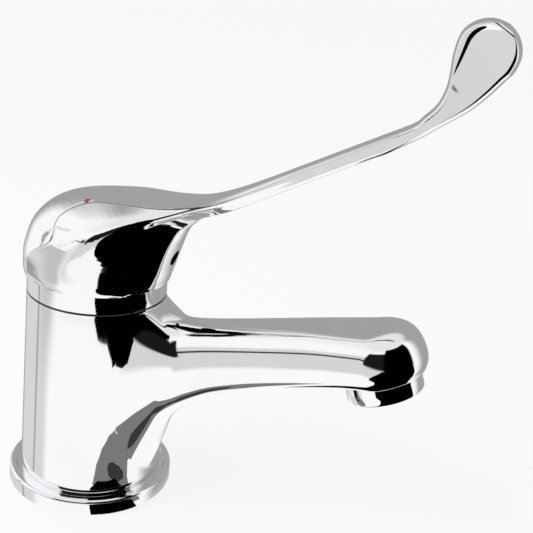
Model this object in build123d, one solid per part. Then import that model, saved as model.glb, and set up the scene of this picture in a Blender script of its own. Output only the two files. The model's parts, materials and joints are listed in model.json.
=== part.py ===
from build123d import *
import math
import os

# Elbow lever basin tap, millimetres, +Z up, origin on the deck in the middle of the base.
# The spout and the lever point along +X. The column axis is Z.

# Base ring and seal
ring_brim = 3.7
ring_height = 5.0
ring_round = 1.0
ring_rim_width = 2.3
ring_step = 0.8
ring_lap = 1.8
seal_inset = 1.6
seal_width = 2.8
seal_thickness = 1.4
seal_slack = 0.1

# Column
column_wall = 4.7
column_taper = 1.1
column_chamfer = 0.4
spigot_slack = 0.1

# Aerator position and tilt
aerator_reach = 97.1
aerator_height_share = 0.8353
aerator_tilt = 20.2

# Spout, measured along the aerator's axis at its end
spout_roof = 2.1
spout_end_wall = 3.2
spout_end_rise = 5.3
spout_steps = 4
# Each row: reach and height of the top point, reach and height of the bottom point, half width
# and place in the row of outlines: 0 root, 1 neck, 2 end. Reaches are shares of the aerator's
# reach, heights of its height above the deck, half widths of the spout's end radius
spout_station_shares = [
    (0.144, 1.186, 0.170, 0.140, 0.93, 0.0),
    (0.223, 1.195, 0.243, 0.205, 0.87, 0.0),
    (0.243, 1.178, 0.260, 0.325, 0.83, 0.15),
    (0.268, 1.158, 0.278, 0.450, 0.79, 0.40),
    (0.299, 1.146, 0.305, 0.540, 0.75, 0.70),
    (0.340, 1.146, 0.348, 0.612, 0.72, 1.00),
    (0.432, 1.175, 0.443, 0.735, 0.71, 1.15),
    (0.587, 1.235, 0.602, 0.860, 0.75, 1.35),
    (0.735, 1.293, 0.765, 0.967, 0.82, 1.65),
    (0.845, 1.330, 0.890, 1.046, 0.92, 1.88),
]
# Half outlines of the spout: share of the height from the top, share of the half width
spout_outline_shares = [
    [(0.0, 0.0), (0.008, 0.40), (0.035, 0.72), (0.20, 0.96), (0.50, 1.0), (0.78, 0.80), (0.94, 0.45)],
    [(0.0, 0.0), (0.05, 0.40), (0.15, 0.72), (0.31, 0.94), (0.55, 1.0), (0.80, 0.92), (0.95, 0.62)],
    [(0.0, 0.0), (0.035, 0.40), (0.13, 0.70), (0.32, 0.90), (0.62, 0.985), (0.85, 0.97), (1.0, 0.88)],
]

# Waterways: outlet port, turn under the chamber, rise into the spout
outlet_port_reach = 6.4
outlet_port_radius = 3.0
inlet_port_reach = 4.8
inlet_port_radius = 2.4
port_web = 1.0
water_root_radius = 3.2
water_spout_radius = 6.0
water_drop = 6.0
water_turn_ahead = 2.5
water_turn_drop = 5.5
water_rise_ahead = 9.5
water_rise_height = 2.0
water_mid_ahead = 24.5
water_mid_height = 13.6
water_end_gap = 0.9

# Underside holes
stud_radius = 3.4
stud_depth = 20.0
stud_reach = 12.5
hose_thread_radius = 4.5
hose_thread_depth = 14.0

# Cartridge chamber, cartridge housing and base
chamber_floor = 41.0
cartridge_radius = 17.5
cartridge_slack = 0.15
thread_relief = 0.5
nut_thread_wall = 1.5
nut_thread_length = 7.0
nut_thread_slack = 0.1
base_lift = 0.2
base_flange_height = 5.3
base_spigot_height = 1.5
housing_wall = 1.7
housing_roof = 1.7
housing_step_gap = 0.35
housing_shoulder = 1.5
neck_inset = 2.5
stem_opening_lip = 2.9
peg_radius = 1.2
peg_length = 2.0
peg_reach = 9.5
peg_spread = 9.5
peg_slack = 0.1
port_seal_width = 1.3
port_seal_thickness = 1.4
port_seal_slack = 0.1

# Discs, carrier and sleeve
face_gap = 0.05
disc_thickness = 3.5
moving_disc_room = 3.8
moving_disc_thickness = 3.4
pocket_depth = 1.8
pocket_front_reach = 1.0
pocket_front_radius = 4.6
pocket_rear_reach = 3.2
pocket_rear_radius = 5.0
carrier_height = 4.2
guide_width = 9.0
guide_height = 2.4
guide_half_length = 8.5
guide_side_slack = 0.15
guide_top_slack = 0.2
sleeve_slack = 0.1
slot_half_length = 7.0
slot_slack = 0.15

# Lever pivot and stem
pin_radius = 1.5
pin_inset = 0.7
pin_seat_slack = 0.02
pin_play = 0.04
stem_width = 8.0
stem_rise = 18.6
stem_shank_drop = 4.0
stem_foot_radius = 3.0
stem_neck_radius = 2.4
stem_foot_rise = 1.85
stem_arm = 8.0
sleeve_rise = 4.25
foot_play = 0.2
foot_floor_gap = 0.8
socket_play = 0.05

# Nut, bonnet and o-ring
nut_lift = 0.2
nut_flange_height = 4.0
nut_bore_slack = 0.15
nut_flange_width = 0.6
nut_slots = 6
nut_slot_width = 3.0
nut_slot_depth = 1.0
o_ring_groove_depth = 0.6
o_ring_play = 0.03
o_ring_side_slack = 0.1
bonnet_wall = 1.3
bonnet_height = 6.0
bonnet_head_gap = 0.5
bonnet_slope_width = 6.2
bonnet_inner_slope_width = 6.6
bonnet_inner_drop = 0.7
bonnet_opening_width = 8.6

# Handle
dome_overhang = 1.4
dome_clearance = 0.39
boss_radius = 7.5
boss_wall = 0.75
rib_width = 9.0
rib_reach_share = 1.144
screw_rise = 9.7
screw_radius = 2.4
screw_length = 6.5
screw_play = 0.05
hex_width = 2.5
hex_depth = 3.0
handle_steps = 3
# Rows from the lip up over the dome and out along the lever, all as shares of the dome radius.
# Top point reach and height above the lip, underside point reach and height above the lip
handle_line_shares = [
    (-0.983, 0.000, 0.985, 0.000),
    (-0.994, 0.045, 1.000, 0.045),
    (-1.000, 0.150, 1.022, 0.120),
    (-0.985, 0.390, 1.063, 0.240),
    (-0.873, 0.718, 1.112, 0.407),
    (-0.593, 0.973, 1.172, 0.593),
    (-0.170, 1.122, 1.223, 0.733),
    (0.339, 1.183, 1.278, 0.847),
    (0.847, 1.202, 1.370, 0.945),
    (1.314, 1.290, 1.525, 1.068),
    (1.695, 1.419, 1.850, 1.212),
    (2.119, 1.627, 2.243, 1.435),
]
# For each row, pairs of (share of the way from top to underside, half width as a share of the
# dome radius): edge of the top strip, widest point, start of the flank, hollow, nose ridge
handle_outline_shares = [
    ((0.180, 0.755), (0.500, 0.983), (0.760, 0.840), (0.880, 0.640), (0.975, 0.300)),
    ((0.180, 0.765), (0.500, 0.995), (0.760, 0.850), (0.880, 0.640), (0.975, 0.300)),
    ((0.180, 0.768), (0.500, 1.000), (0.755, 0.845), (0.870, 0.590), (0.975, 0.300)),
    ((0.190, 0.780), (0.500, 0.998), (0.750, 0.838), (0.865, 0.530), (0.975, 0.300)),
    ((0.320, 0.880), (0.560, 1.000), (0.745, 0.830), (0.865, 0.500), (0.975, 0.300)),
    ((0.200, 0.660), (0.520, 0.975), (0.745, 0.790), (0.870, 0.440), (0.972, 0.290)),
    ((0.130, 0.430), (0.500, 0.870), (0.740, 0.690), (0.870, 0.380), (0.970, 0.260)),
    ((0.110, 0.425), (0.460, 0.730), (0.700, 0.590), (0.860, 0.340), (0.970, 0.235)),
    ((0.130, 0.420), (0.420, 0.540), (0.640, 0.450), (0.830, 0.290), (0.965, 0.210)),
    ((0.220, 0.365), (0.400, 0.385), (0.600, 0.330), (0.800, 0.250), (0.950, 0.200)),
    ((0.300, 0.275), (0.450, 0.275), (0.620, 0.245), (0.800, 0.215), (0.940, 0.190)),
    ((0.300, 0.200), (0.450, 0.200), (0.620, 0.190), (0.800, 0.182), (0.940, 0.172)),
]

# Lever arm and elbow paddle
arm_rise = 29.9
arm_width = 7.4
arm_depth = 5.1
arm_start_shares = (2.712, 1.962)
arm_crown = 1.2
arm_span = 22.5
arm_stop_shares = (0.0, 0.5, 1.0)
arm_outline_shares = [(0.45, 1.0), (0.65, 0.99), (0.82, 0.98), (0.95, 0.93)]
paddle_centre_shares = (2.678, 2.915)
paddle_radius = 8.7
paddle_rise = 60.4
paddle_thickness = 7.2
paddle_round = 1.3
# Upper and lower edge of the neck, from the paddle's centre in shares of its radius
neck_line_shares = [
    (-1.860, -2.440, -1.515, -2.830),
    (-1.605, -2.174, -1.165, -2.545),
    (-1.243, -1.733, -0.605, -2.116),
    (-1.060, -1.220, -0.128, -1.713),
    (-1.015, -0.720, 0.314, -1.221),
    (-1.005, -0.130, 0.686, -0.733),
]
tip_angles = [0, 25, 45, 62, 75, 84]
rim_side_shares = (0.3, 0.5, 0.7)
rim_crown_share = 0.25
dish_margin = 2.3
dish_depth = 1.2

# Temperature marks
mark_radius = 0.95
mark_depth = 0.5
mark_proud = 0.02
mark_play = 0.03
mark_place_shares = (0.0127, 0.394, 1.0856)
mark_tilt = 21.5
mark_lean = 9.5

# Aerator
aerator_radius = 11.6
aerator_bore_slack = 0.1
aerator_thread_height = 11.0
aerator_wall = 1.7
aerator_lip_height = 1.0
aerator_lip_width = 1.0
aerator_edge = 0.4
gasket_thickness = 1.6
gasket_width = 2.4
insert_slack = 0.1
insert_height = 6.0
insert_wall = 1.0
insert_floor = 1.2
insert_hole_radius = 0.75
insert_rim = 1.15
insert_rings = 3
insert_step_holes = 6

# Overrun of cuts past the faces they open
overrun = 1.0
RISE = (Align.CENTER, Align.CENTER, Align.MIN)

# Radii from the cartridge outwards
column_top_radius = cartridge_radius + column_wall
column_foot_radius = column_top_radius + column_taper
ring_radius = column_foot_radius + ring_brim
ring_bore_radius = column_foot_radius - ring_lap
seal_radius = ring_radius - seal_inset
nut_thread_radius = cartridge_radius + nut_thread_wall
nut_flange_radius = nut_thread_radius + nut_flange_width
bonnet_radius = column_top_radius
dome_radius = bonnet_radius + dome_overhang
neck_radius = cartridge_radius - neck_inset
neck_bore_radius = neck_radius - housing_wall
stem_opening_radius = neck_bore_radius - stem_opening_lip
housing_bore_radius = cartridge_radius - housing_wall
disc_radius = housing_bore_radius - cartridge_slack
moving_disc_radius = housing_bore_radius - moving_disc_room
sleeve_radius = neck_bore_radius - sleeve_slack
spout_end_radius = aerator_radius + spout_end_wall
inlet_port_spread = water_root_radius + inlet_port_radius + port_web
port_seal_radius = outlet_port_radius + port_seal_width

# Heights from the deck upwards
underside = 0
ring_ledge = ring_height - ring_step
base_low = chamber_floor + base_lift
housing_low = base_low + base_flange_height
base_high = housing_low + base_spigot_height
moving_disc_low = base_high + disc_thickness + face_gap
carrier_low = moving_disc_low + moving_disc_thickness
carrier_high = carrier_low + carrier_height
sleeve_low = carrier_high + face_gap
foot_height = carrier_high + stem_foot_rise
pivot_height = foot_height + stem_arm
sleeve_high = pivot_height + sleeve_rise
housing_top = sleeve_high + face_gap + housing_roof
housing_step_height = carrier_high + housing_step_gap
nut_seat = housing_step_height + housing_shoulder
column_top = nut_seat + nut_thread_length
nut_top = column_top + nut_flange_height
o_ring_height = column_top + nut_flange_height / 2
bonnet_edge = column_top + bonnet_height
bonnet_top = housing_top + bonnet_head_gap + bonnet_wall
lip_height = bonnet_edge
stem_top = lip_height + stem_rise
screw_height = lip_height + screw_rise
boss_bottom = screw_height - screw_radius - screw_play - boss_wall
dome_cavity_radius = math.hypot(bonnet_radius, bonnet_edge - pivot_height) + dome_clearance
cavity_roof = pivot_height + dome_cavity_radius + overrun
rib_reach = rib_reach_share * dome_radius

# Aerator, seen along its own axis
aerator_height = aerator_height_share * column_top
gasket_low = aerator_thread_height
gasket_high = gasket_low + gasket_thickness
water_end_rise = gasket_high + water_end_gap
spout_end_height = water_end_rise + water_spout_radius + spout_roof - spout_end_rise

# Arm and paddle, one after the other
arm_start_reach = arm_start_shares[0] * dome_radius
arm_start_height = lip_height + arm_start_shares[1] * dome_radius
arm_end_reach = arm_start_reach + arm_span
arm_end_height = arm_start_height + arm_span * math.tan(math.radians(arm_rise))
paddle_reach = arm_end_reach + paddle_centre_shares[0] * paddle_radius
paddle_height = arm_end_height + paddle_centre_shares[1] * paddle_radius

ports = [(-outlet_port_reach, 0, outlet_port_radius),
         (inlet_port_reach, -inlet_port_spread, inlet_port_radius),
         (inlet_port_reach, inlet_port_spread, inlet_port_radius)]
sides = (-1, 1)

tilt = math.radians(aerator_tilt)
aerator_plane = Plane(origin=(aerator_reach, 0, aerator_height),
                      x_dir=(math.cos(tilt), 0, math.sin(tilt)),
                      z_dir=(-math.sin(tilt), 0, math.cos(tilt)))


def rod(radius, low, high, x=0, y=0):
    """Upright cylinder between two heights."""
    return Pos(x, y, low) * Cylinder(radius, high - low, align=RISE)


def block(length, width, low, high, x=0, y=0):
    """Upright box between two heights."""
    return Pos(x, y, low) * Box(length, width, high - low, align=RISE)


def turned(points):
    """Solid of revolution about Z from (radius, height) points."""
    return revolve(Plane.XZ * make_face(Polyline(*points, close=True)), Axis.Z)


def washer(inner, outer, low, high):
    """Flat ring about Z between two heights."""
    return turned([(inner, low), (outer, low), (outer, high), (inner, high)])


def pipe(start, end, radius):
    """Round bar with a ball at its end between two points of the symmetry plane."""
    a = Vector(start[0], 0, start[1])
    b = Vector(end[0], 0, end[1])
    along = Plane(origin=a, z_dir=b - a)
    bar = along.location * Cylinder(radius, (b - a).length, align=RISE)
    return bar + Pos(b) * Sphere(radius)


def polar(radius, angle):
    return (radius * math.cos(math.radians(angle)), radius * math.sin(math.radians(angle)))


def on_aerator(up):
    """Point of the symmetry plane on the aerator's axis."""
    return (aerator_reach - up * math.sin(tilt), aerator_height + up * math.cos(tilt))


def between(rows, steps):
    """Rows with smooth steps put in between them, through every given row."""
    out = []
    for k in range(len(rows) - 1):
        before, here = rows[max(k - 1, 0)], rows[k]
        there, after = rows[k + 1], rows[min(k + 2, len(rows) - 1)]
        for n in range(steps):
            s = n / steps
            out.append(tuple(
                0.5 * (2 * p + (q - o) * s + (2 * o - 5 * p + 4 * q - r) * s ** 2
                       + (3 * p - o - 3 * q + r) * s ** 3)
                for o, p, q, r in zip(before, here, there, after)))
    out.append(tuple(rows[-1]))
    return out


# Spout
def spout_wire(top, bottom, half_width, place):
    """Closed outline of the spout in the plane through two points and the Y direction."""
    step = min(int(place), len(spout_outline_shares) - 2)
    blend = place - step
    outline = []
    for here, there in zip(spout_outline_shares[step], spout_outline_shares[step + 1]):
        down = here[0] + (there[0] - here[0]) * blend
        out = (here[1] + (there[1] - here[1]) * blend) * half_width
        outline.append((top[0] + (bottom[0] - top[0]) * down, out, top[1] + (bottom[1] - top[1]) * down))
    other = [(x, -y, z) for x, y, z in outline]
    last = outline[-1]
    floor = Spline(last, (bottom[0], 0, bottom[1]), other[-1])
    return Wire([Spline(*outline), floor, Spline(*reversed(other))])


def spout_bar():
    """Spout from inside the column to the aerator's axis."""
    rows = [(a * aerator_reach, b * aerator_height, c * aerator_reach, d * aerator_height,
             half * spout_end_radius, place) for a, b, c, d, half, place in spout_station_shares]
    rows.append((*on_aerator(spout_end_rise + spout_end_height), *on_aerator(spout_end_rise),
                 spout_end_radius, len(spout_outline_shares) - 1))
    wires = [spout_wire(r[0:2], r[2:4], r[4], r[5]) for r in between(rows, spout_steps)]
    return Solid.make_loft(wires, ruled=True)


def spout_end():
    """Rounded front half of the spout's end, turned about the aerator's axis."""
    rise = spout_end_rise + spout_end_height
    points = [(out * spout_end_radius, rise - down * spout_end_height)
              for down, out in spout_outline_shares[-1]]
    low = points[-1]
    face = make_face([Spline(*points), Line(low, (0, low[1])), Line((0, low[1]), points[0])])
    return aerator_plane.location * revolve(Plane.YZ * face, Axis.Z, -180)


# Body
def column():
    spigot_radius = ring_bore_radius - spigot_slack
    return turned([(0, underside), (spigot_radius, underside), (spigot_radius, ring_ledge),
                   (column_foot_radius, ring_ledge),
                   (column_top_radius, column_top - column_chamfer),
                   (column_top_radius - column_chamfer, column_top), (0, column_top)])


def waterways():
    """Passages from the chamber floor to the hose threads and to the aerator."""
    drop = chamber_floor - water_drop
    path = [(-outlet_port_reach, drop),
            (cartridge_radius + water_turn_ahead, chamber_floor - water_turn_drop),
            (cartridge_radius + water_rise_ahead, chamber_floor + water_rise_height),
            (cartridge_radius + water_mid_ahead, chamber_floor + water_mid_height)]
    cuts = [rod(outlet_port_radius, drop, chamber_floor + overrun, -outlet_port_reach)]
    cuts += [pipe(a, b, water_root_radius) for a, b in zip(path, path[1:])]
    cuts.append(pipe(path[-1], on_aerator(water_end_rise), water_spout_radius))
    for x, y, radius in ports[1:]:
        cuts.append(rod(radius, underside, chamber_floor + overrun, x, y))
        cuts.append(rod(hose_thread_radius, underside - overrun, underside + hose_thread_depth, x, y))
    return cuts


def body_casting():
    body = column() + spout_bar() + spout_end()
    body -= rod(cartridge_radius + cartridge_slack, chamber_floor, column_top + overrun)
    body -= rod(nut_thread_radius + nut_thread_slack, nut_seat - thread_relief, column_top + overrun)
    body -= rod(stud_radius, underside - overrun, underside + stud_depth, -stud_reach)
    for side in sides:
        body -= rod(peg_radius + peg_slack, base_low - peg_length - peg_slack, chamber_floor + overrun,
                    -peg_reach, side * peg_spread)
    for cut in waterways():
        body -= cut
    return body - aerator_plane.location * rod(aerator_radius + aerator_bore_slack, -overrun, gasket_high)


# Base ring and seal
def base_ring():
    rim = ring_radius - ring_rim_width
    ring = turned([(ring_bore_radius, 0), (ring_radius, 0), (ring_radius, ring_height), (rim, ring_height),
                   (rim, ring_ledge), (ring_bore_radius, ring_ledge)])
    top_edges = ring.edges().filter_by(GeomType.CIRCLE).group_by(Axis.Z)[-1]
    ring = fillet(top_edges.sort_by(SortBy.RADIUS)[-1], ring_round)
    return ring - washer(seal_radius - seal_width - seal_slack, seal_radius + seal_slack,
                         -overrun, seal_thickness)


def base_seal():
    return washer(seal_radius - seal_width, seal_radius, 0, seal_thickness)


# Cartridge
def with_ports(shape, low, high):
    for x, y, radius in ports:
        shape -= rod(radius, low - overrun, high + overrun, x, y)
    return shape


def cartridge_base():
    base = rod(cartridge_radius, base_low, housing_low) + rod(disc_radius, housing_low, base_high)
    base = with_ports(base, base_low, base_high)
    for x, y, radius in ports:
        base -= rod(port_seal_radius + port_seal_slack, base_low - overrun,
                    chamber_floor + port_seal_thickness, x, y)
    for side in sides:
        base += rod(peg_radius, base_low - peg_length, housing_low, -peg_reach, side * peg_spread)
    return base


def port_seals():
    ring = washer(outlet_port_radius, port_seal_radius, chamber_floor, chamber_floor + port_seal_thickness)
    return Part() + [Pos(x, y) * ring for x, y, radius in ports]


def fixed_disc():
    return with_ports(rod(disc_radius, base_high, base_high + disc_thickness), base_high, carrier_low)


def moving_disc():
    disc = rod(moving_disc_radius, moving_disc_low, carrier_low)
    high = moving_disc_low + pocket_depth
    disc -= rod(pocket_front_radius, moving_disc_low - overrun, high, pocket_front_reach)
    return disc - rod(pocket_rear_radius, moving_disc_low - overrun, high, -pocket_rear_reach)


def disc_carrier():
    carrier = rod(moving_disc_radius, carrier_low, carrier_high)
    carrier += block(2 * guide_half_length, guide_width, carrier_high, carrier_high + guide_height)
    pocket = 2 * (stem_foot_radius + foot_play)
    return carrier - block(pocket, pocket, foot_height - stem_foot_radius - foot_floor_gap,
                           carrier_high + guide_height + overrun)


def rotating_sleeve():
    sleeve = rod(sleeve_radius, sleeve_low, sleeve_high)
    sleeve -= block(2 * (sleeve_radius + overrun), guide_width + 2 * guide_side_slack,
                    sleeve_low - overrun, carrier_high + guide_height + guide_top_slack)
    sleeve -= block(2 * slot_half_length, stem_width + 2 * slot_slack,
                    sleeve_low - overrun, sleeve_high + overrun)
    return sleeve - cross_bar(pin_radius + pin_seat_slack, 2 * (sleeve_radius + overrun))


def cross_bar(radius, length):
    """Round bar along Y through the lever's pivot."""
    return Pos(0, 0, pivot_height) * Rot(90, 0, 0) * Cylinder(radius, length)


def cartridge_housing():
    return turned([(cartridge_radius, housing_low), (cartridge_radius, nut_seat), (neck_radius, nut_seat),
                   (neck_radius, housing_top), (stem_opening_radius, housing_top),
                   (stem_opening_radius, housing_top - housing_roof),
                   (neck_bore_radius, housing_top - housing_roof),
                   (neck_bore_radius, housing_step_height), (housing_bore_radius, housing_step_height),
                   (housing_bore_radius, housing_low)])


# Nut, o-ring and bonnet
o_ring_inner = nut_flange_radius - o_ring_groove_depth
o_ring_outer = bonnet_radius - bonnet_wall - o_ring_play
o_ring_radius = (o_ring_outer - o_ring_inner) / 2
o_ring_path_radius = (o_ring_outer + o_ring_inner) / 2


def cartridge_nut():
    bore = neck_radius + nut_bore_slack
    flange = column_top + nut_lift
    nut = turned([(bore, nut_seat), (nut_thread_radius, nut_seat), (nut_thread_radius, flange),
                  (nut_flange_radius, flange), (nut_flange_radius, nut_top), (bore, nut_top)])
    half = o_ring_radius + o_ring_side_slack
    nut -= washer(o_ring_inner, nut_flange_radius + overrun, o_ring_height - half, o_ring_height + half)
    for k in range(nut_slots):
        slot = block(nut_flange_radius + overrun, nut_slot_width, nut_top - nut_slot_depth, nut_top + overrun,
                     (nut_flange_radius + overrun) / 2)
        nut -= Rot(0, 0, 360 / nut_slots * k) * slot
    return nut


def bonnet_o_ring():
    return Pos(0, 0, o_ring_height) * Torus(o_ring_path_radius, o_ring_radius)


def cover_bonnet():
    inner = bonnet_radius - bonnet_wall
    ceiling = bonnet_top - bonnet_wall
    opening = bonnet_radius - bonnet_opening_width
    return turned([(inner, column_top), (bonnet_radius, column_top), (bonnet_radius, bonnet_edge),
                   (bonnet_radius - bonnet_slope_width, bonnet_top), (opening, bonnet_top), (opening, ceiling),
                   (bonnet_radius - bonnet_inner_slope_width, ceiling), (inner, bonnet_edge - bonnet_inner_drop)])


# Aerator
def aerator_ring():
    bore = aerator_radius - aerator_wall
    mouth = bore - aerator_lip_width
    return aerator_plane.location * turned([
        (mouth, 0), (aerator_radius - aerator_edge, 0), (aerator_radius, aerator_edge),
        (aerator_radius, aerator_thread_height), (bore, aerator_thread_height),
        (bore, aerator_lip_height), (mouth, aerator_lip_height)])


def aerator_insert():
    """Cup with rings of holes in its floor."""
    radius = aerator_radius - aerator_wall - insert_slack
    high = aerator_lip_height + insert_height
    inner = radius - insert_wall
    pitch = (inner - insert_rim - insert_hole_radius) / insert_rings
    cup = rod(radius, aerator_lip_height, high)
    cup -= rod(inner, aerator_lip_height + insert_floor, high + overrun)
    holes = [rod(insert_hole_radius, 0, high)]
    for ring in range(1, insert_rings + 1):
        for k in range(insert_step_holes * ring):
            x, y = polar(pitch * ring, 360 / (insert_step_holes * ring) * k)
            holes.append(rod(insert_hole_radius, 0, high, x, y))
    return aerator_plane.location * (cup - holes)


def aerator_gasket():
    return aerator_plane.location * washer(aerator_radius - gasket_width, aerator_radius, gasket_low, gasket_high)


# Handle
def cross_row(top, low, outline):
    """Numbers of one cross-section: its two points in the symmetry plane, then its outline."""
    row = [*top, *low]
    for share, half in outline:
        row += [share, half]
    return tuple(row)


def cross_wire(row):
    """Closed outline in the plane through the section's two points and the Y direction."""
    top, low = row[0:2], row[2:4]
    points = []
    for k in range(4, len(row), 2):
        points.append((top[0] + (low[0] - top[0]) * row[k], row[k + 1],
                       top[1] + (low[1] - top[1]) * row[k]))
    other = [(x, -y, z) for x, y, z in points]
    crown = ThreePointArc(other[0], (top[0], 0, top[1]), points[0])
    nose = Spline(points[-1], (low[0], 0, low[1]), other[-1])
    return Wire([crown, Spline(*points), nose, Spline(*reversed(other))])


def dome_rows():
    rows = []
    for line, outline in zip(handle_line_shares, handle_outline_shares):
        top = (line[0] * dome_radius, lip_height + line[1] * dome_radius)
        low = (line[2] * dome_radius, lip_height + line[3] * dome_radius)
        rows.append(cross_row(top, low, [(s, half * dome_radius) for s, half in outline]))
    return rows


def arm_rows():
    along = polar(1, arm_rise)
    half = arm_width / 2
    outline = [(arm_crown / arm_depth, half)] + [(s, half * w) for s, w in arm_outline_shares]
    rows = []
    for share in arm_stop_shares:
        reach = arm_start_reach + (arm_end_reach - arm_start_reach) * share
        top = (reach, arm_start_height + (reach - arm_start_reach) * along[1] / along[0])
        low = (top[0] + arm_depth * along[1], top[1] - arm_depth * along[0])
        rows.append(cross_row(top, low, outline))
    return rows


def rim_outline(depth, width):
    """Outline of the paddle, rounded at both edges."""
    crown = min(paddle_round / depth, rim_crown_share)
    half = width / 2
    return [(crown, half), *[(s, half) for s in rim_side_shares], (1 - crown, half)]


def paddle_rows():
    rows = []
    for a, b, c, d in neck_line_shares:
        top = (paddle_reach + a * paddle_radius, paddle_height + b * paddle_radius)
        low = (paddle_reach + c * paddle_radius, paddle_height + d * paddle_radius)
        rows.append(cross_row(top, low, rim_outline(math.dist(top, low), paddle_thickness)))
    along = polar(1, paddle_rise)
    for angle in tip_angles:
        half, ahead = polar(paddle_radius, angle)
        x, z = paddle_reach + ahead * along[0], paddle_height + ahead * along[1]
        top = (x - half * along[1], z + half * along[0])
        low = (x + half * along[1], z - half * along[0])
        edge = min((paddle_radius - ahead) / paddle_round, 1)
        fade = math.sqrt(1 - (1 - edge) ** 2)
        rows.append(cross_row(top, low, rim_outline(2 * half, paddle_thickness * fade)))
    return rows


def mark_plane(side):
    out, up = polar(1, 90 - mark_tilt)
    ahead, rise = polar(1, 90 + mark_lean)
    reach, spread, height = [share * dome_radius for share in mark_place_shares]
    return Plane(origin=(reach, side * spread, lip_height + height),
                 z_dir=(ahead, side * out * rise, up * rise))


def mark(side, slack, high):
    """Round mark or its pocket, from the mark's depth to a height above the surface."""
    return mark_plane(side).location * rod(mark_radius + slack, -mark_depth, high)


def screw_bar(radius, start, end):
    """Round bar along X at the set screw's height."""
    return Pos(start, 0, screw_height) * Rot(0, 90, 0) * Cylinder(radius, end - start, align=RISE)


def dishes():
    """Shallow hollows in both faces of the paddle."""
    dish_radius = paddle_radius - dish_margin
    ball = (dish_radius ** 2 + dish_depth ** 2) / (2 * dish_depth)
    centre = paddle_thickness / 2 + ball - dish_depth
    return [Pos(paddle_reach, side * centre, paddle_height) * Sphere(ball) for side in sides]


def lever_handle():
    rows = between(dome_rows() + arm_rows() + paddle_rows(), handle_steps)
    handle = Solid.make_loft([cross_wire(r) for r in rows], ruled=True)
    cavity = Pos(0, 0, pivot_height) * Sphere(dome_cavity_radius)
    cavity -= rod(boss_radius, boss_bottom, cavity_roof)
    cavity -= block(rib_reach, rib_width, boss_bottom, cavity_roof, rib_reach / 2)
    handle -= cavity
    socket = stem_width + 2 * socket_play
    handle -= block(socket, socket, boss_bottom - overrun, stem_top + socket_play)
    handle -= screw_bar(screw_radius + screw_play, 0, rib_reach + overrun)
    for dish in dishes():
        handle -= dish
    for side in sides:
        handle -= mark(side, mark_play, overrun)
    return handle


def lever_stem():
    shank = pivot_height - stem_shank_drop
    stem = block(stem_width, stem_width, shank, stem_top)
    stem += rod(stem_neck_radius, foot_height, shank) + Pos(0, 0, foot_height) * Sphere(stem_foot_radius)
    return stem - cross_bar(pin_radius + pin_play, stem_width + 2 * overrun)


def grub_screw():
    start = stem_width / 2
    end = start + screw_length
    hexagon = Plane(origin=(end, 0, screw_height), z_dir=(-1, 0, 0)) * RegularPolygon(
        hex_width / 2, 6, major_radius=False)
    return screw_bar(screw_radius, start, end) - extrude(hexagon, hex_depth)


nodes = {
    "body_casting": body_casting(),
    "base_ring": base_ring(),
    "base_seal": base_seal(),
    "cartridge_base": cartridge_base(),
    "port_seals": port_seals(),
    "fixed_disc": fixed_disc(),
    "cartridge_housing": cartridge_housing(),
    "cartridge_nut": cartridge_nut(),
    "bonnet_o_ring": bonnet_o_ring(),
    "cover_bonnet": cover_bonnet(),
    "aerator_ring": aerator_ring(),
    "aerator_insert": aerator_insert(),
    "aerator_gasket": aerator_gasket(),
    "rotating_sleeve": rotating_sleeve(),
    "pivot_pin": cross_bar(pin_radius, 2 * (sleeve_radius - pin_inset)),
    "moving_disc": moving_disc(),
    "disc_carrier": disc_carrier(),
    "lever_handle": lever_handle(),
    "lever_stem": lever_stem(),
    "grub_screw": grub_screw(),
    "hot_mark": mark(-1, 0, mark_proud),
    "cold_mark": mark(1, 0, mark_proud),
}
os.makedirs("parts", exist_ok=True)
for name, shape in nodes.items():
    export_step(shape, "parts/" + name + ".step")
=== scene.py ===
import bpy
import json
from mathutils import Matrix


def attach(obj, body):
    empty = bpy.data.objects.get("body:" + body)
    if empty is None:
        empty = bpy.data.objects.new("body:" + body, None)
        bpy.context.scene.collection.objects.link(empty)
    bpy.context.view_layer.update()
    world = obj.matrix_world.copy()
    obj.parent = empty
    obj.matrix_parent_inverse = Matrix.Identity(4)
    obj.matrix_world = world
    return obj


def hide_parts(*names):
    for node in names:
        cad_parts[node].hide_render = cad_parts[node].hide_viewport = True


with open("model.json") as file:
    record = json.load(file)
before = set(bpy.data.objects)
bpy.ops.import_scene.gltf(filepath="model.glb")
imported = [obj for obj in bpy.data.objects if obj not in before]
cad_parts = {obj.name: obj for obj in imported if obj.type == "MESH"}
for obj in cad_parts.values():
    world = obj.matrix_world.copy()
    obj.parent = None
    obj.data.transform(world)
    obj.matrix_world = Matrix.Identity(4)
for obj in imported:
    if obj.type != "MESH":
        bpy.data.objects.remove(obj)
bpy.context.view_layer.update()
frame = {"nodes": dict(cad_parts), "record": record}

import json
import math
import bmesh
import bpy
from mathutils import Matrix, Vector
from mathutils.bvhtree import BVHTree

# Elbow lever basin tap in metres. Lengths below are millimetres, turned to metres by MM.
MM = 0.001
nodes = frame["nodes"]

# Steps round large shapes, bores, small holes and narrow passages
round_steps = 128
bore_steps = 64
small_steps = 48
passage_steps = 32
# How far a cutting shape goes past what it cuts
overrun = 1.0

# Column and ring
column_foot_radius = 23.3
column_top_radius = 22.2
column_top = 68.0
column_chamfer = 0.4
column_wall_step = 2.3
column_wall_rings = 28
# Painted shade in the gap between column and collar: height of the shaded band below the chamfer, and how
# far round it points count
seam_height = 0.12
seam_reach = 0.1
seam_slack = 0.05
ring_ledge = 4.2
ring_radius = 27.0
ring_height = 5.0
ring_rim_radius = 24.7
ring_bore_radius = 21.5
ring_round = 1.0
ring_edge = 0.15
ring_play = 0.1
# Inner radius, outer radius and depth
seal_groove = (22.5, 25.5, 1.4)

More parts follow.
